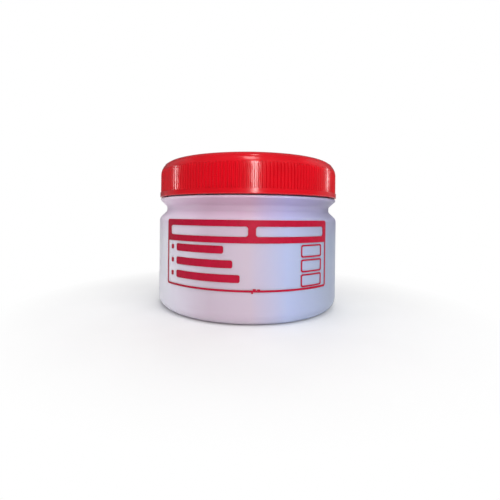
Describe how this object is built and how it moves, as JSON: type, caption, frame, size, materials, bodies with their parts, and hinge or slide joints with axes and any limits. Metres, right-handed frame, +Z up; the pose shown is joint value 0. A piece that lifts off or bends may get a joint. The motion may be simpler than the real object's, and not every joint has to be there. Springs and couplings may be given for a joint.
{
  "type": "specimen container",
  "caption": "Squat round translucent plastic jar with a ribbed red screw cap and a printed panel with tick boxes, for collecting a specimen.",
  "frame": {"origin": "on the jar's axis, at the level of the surface that it stands on", "axes": "+Z up the jar's axis; the middle of the printed panel faces -Y"},
  "size_m": [0.066, 0.0661, 0.0522],
  "materials": {
    "natural_plastic": "natural polypropylene, milky and translucent, satin",
    "red_ink": "screen-printed crimson ink, thin satin film",
    "red_plastic": "opaque red polypropylene, semi-gloss",
    "white_foam": "white closed-cell foam sheet"
  },
  "bodies": {
    "container": {"jar": "natural_plastic", "label_print": "red_ink"},
    "seal": {"cap_liner": "white_foam"},
    "closure": {"cap": "red_plastic"}
  },
  "joints": [
    {"name": "cap_lift", "type": "slide", "parent": "container", "child": "seal", "axis": [0, 0, 1], "range_m": [0, 0.0127]},
    {"name": "cap_turn", "type": "hinge", "parent": "seal", "child": "closure", "pos_m": [0, 0, 0.0498], "axis": [0, 0, 1], "range_deg": [0, 1080]}
  ],
  "couplings": [
    {"joint": "cap_lift", "follows": "cap_turn", "m_per_rad": 0.00067376}
  ]
}
